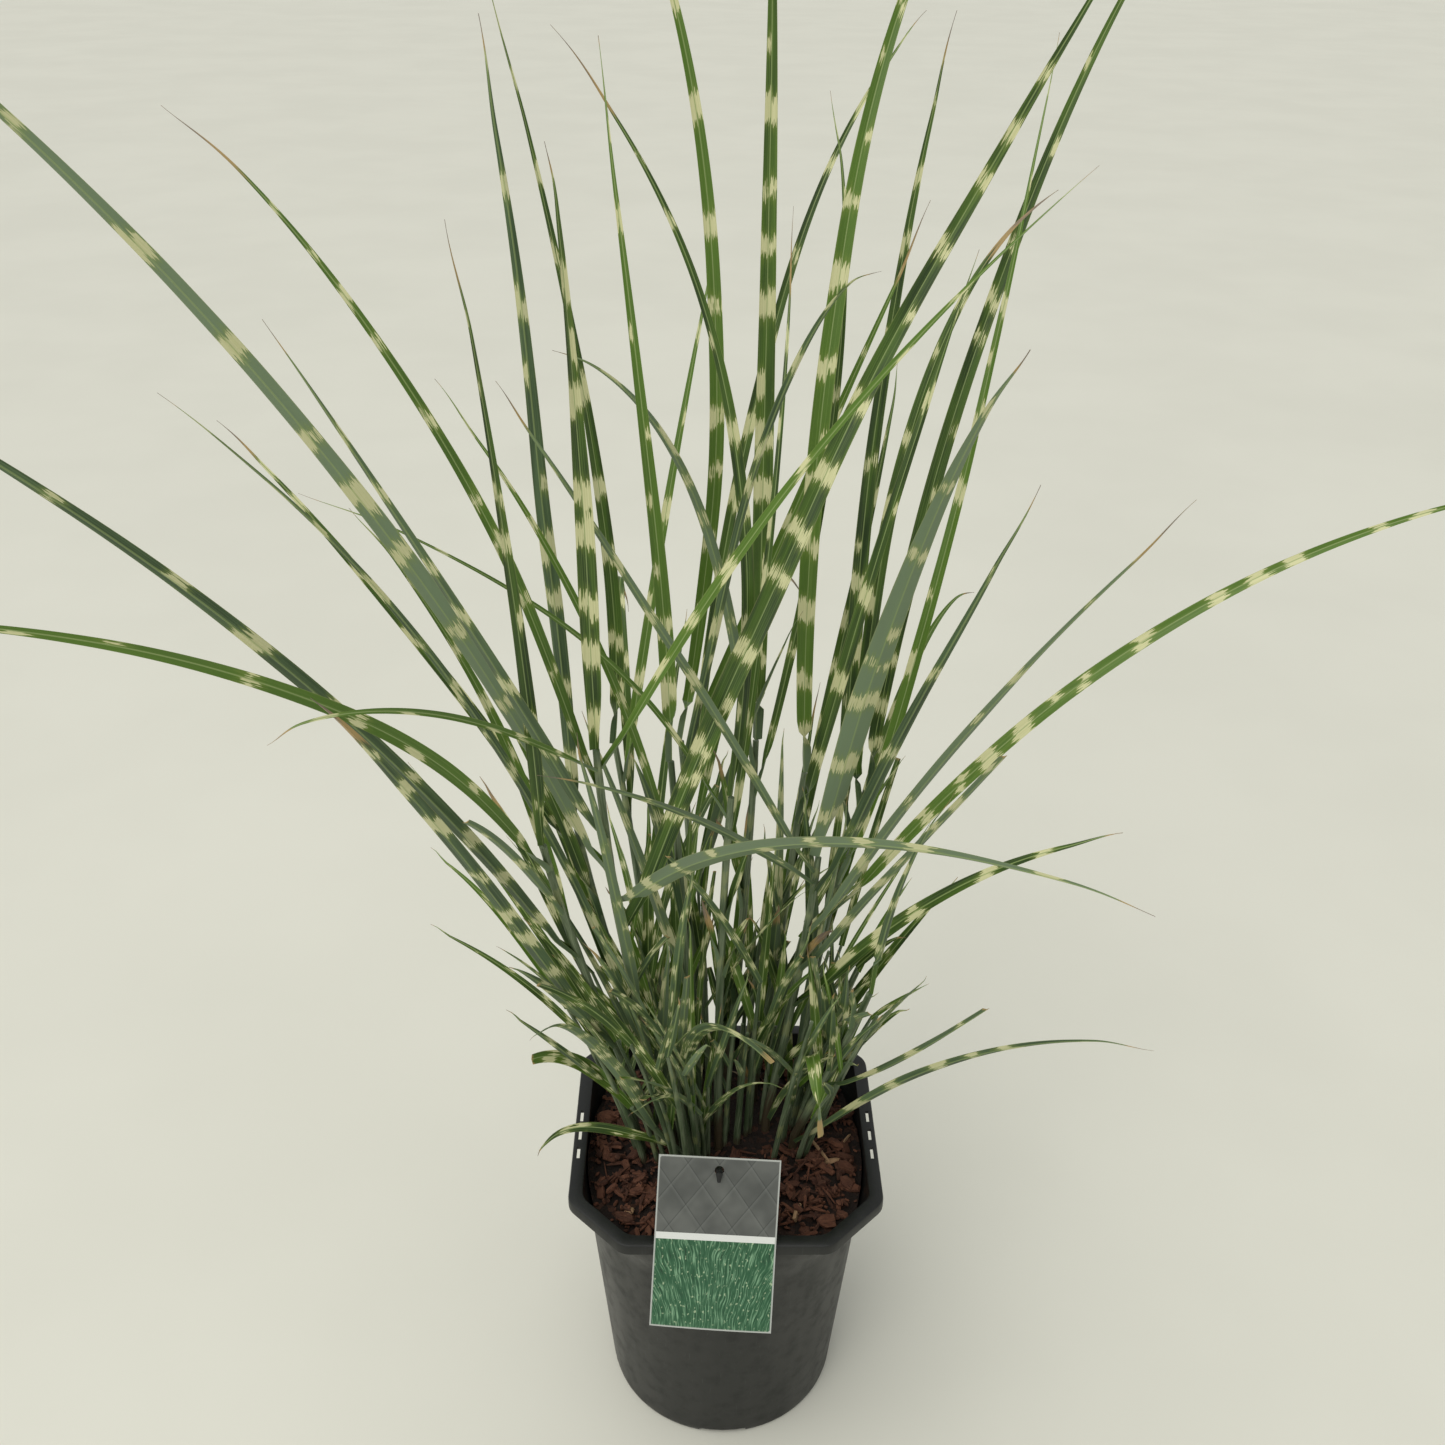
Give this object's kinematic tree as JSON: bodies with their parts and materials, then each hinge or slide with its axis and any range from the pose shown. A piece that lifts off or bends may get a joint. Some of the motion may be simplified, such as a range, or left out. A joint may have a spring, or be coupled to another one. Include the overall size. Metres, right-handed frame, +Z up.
{
  "type": "potted miscanthus grass",
  "caption": "Clump of zebra-banded miscanthus grass in a black square-rimmed nursery pot, with bark mulch over potting mix and a bare care label on a peg.",
  "frame": {"origin": "centre of the pot's flat base disc, on the surface the pot stands on", "axes": "+Z up, along the pot's axis; -Y towards the label and the front of the pot; +X to the right as seen from the front"},
  "size_m": [0.9729, 0.6208, 1.09],
  "materials": {
    "pot": "black recycled polypropylene, semi-matt",
    "potting_mix": "dark moist bark and peat mix",
    "bark_mulch": "rough red-brown bark chips",
    "culm": "waxy grey-green sheaths",
    "leaf": "living leaf, green with cream cross bands, satin",
    "label_card": "printed plastic card, satin",
    "label_peg": "black plastic"
  },
  "bodies": {
    "root": {"bark_mulch": "bark_mulch", "culm_a": "culm", "culm_b": "culm", "culm_c": "culm", "culm_d": "culm", "culm_e": "culm", "culm_f": "culm", "culm_g": "culm", "culm_h": "culm", "culm_i": "culm", "culm_j": "culm", "culm_k": "culm", "culm_l": "culm", "label_card": "label_card", "label_peg": "label_peg", "leaf_a1": "leaf", "leaf_a2": "leaf", "leaf_a3": "leaf", "leaf_a4": "leaf", "leaf_b1": "leaf", "leaf_b2": "leaf", "leaf_b3": "leaf", "leaf_b4": "leaf", "leaf_b5": "leaf", "leaf_b6": "leaf", "leaf_b7": "leaf", "leaf_b8": "leaf", "leaf_c1": "leaf", "leaf_d1": "leaf", "leaf_d2": "leaf", "leaf_d3": "leaf", "leaf_e1": "leaf", "leaf_e2": "leaf", "leaf_e3": "leaf", "leaf_e4": "leaf", "leaf_e5": "leaf", "leaf_e6": "leaf", "leaf_f1": "leaf", "leaf_f2": "leaf", "leaf_g1": "leaf", "leaf_g2": "leaf", "leaf_h1": "leaf", "leaf_h2": "leaf", "leaf_i1": "leaf", "leaf_i2": "leaf", "leaf_i3": "leaf", "leaf_j1": "leaf", "leaf_j2": "leaf", "leaf_k1": "leaf", "leaf_k2": "leaf", "leaf_k3": "leaf", "leaf_k4": "leaf", "leaf_k5": "leaf", "leaf_l1": "leaf", "leaf_l2": "leaf", "pot": "pot", "potting_mix": "potting_mix", "shoot_left": "culm", "shoot_middle": "culm", "shoot_right": "culm"}
  },
  "joints": []
}
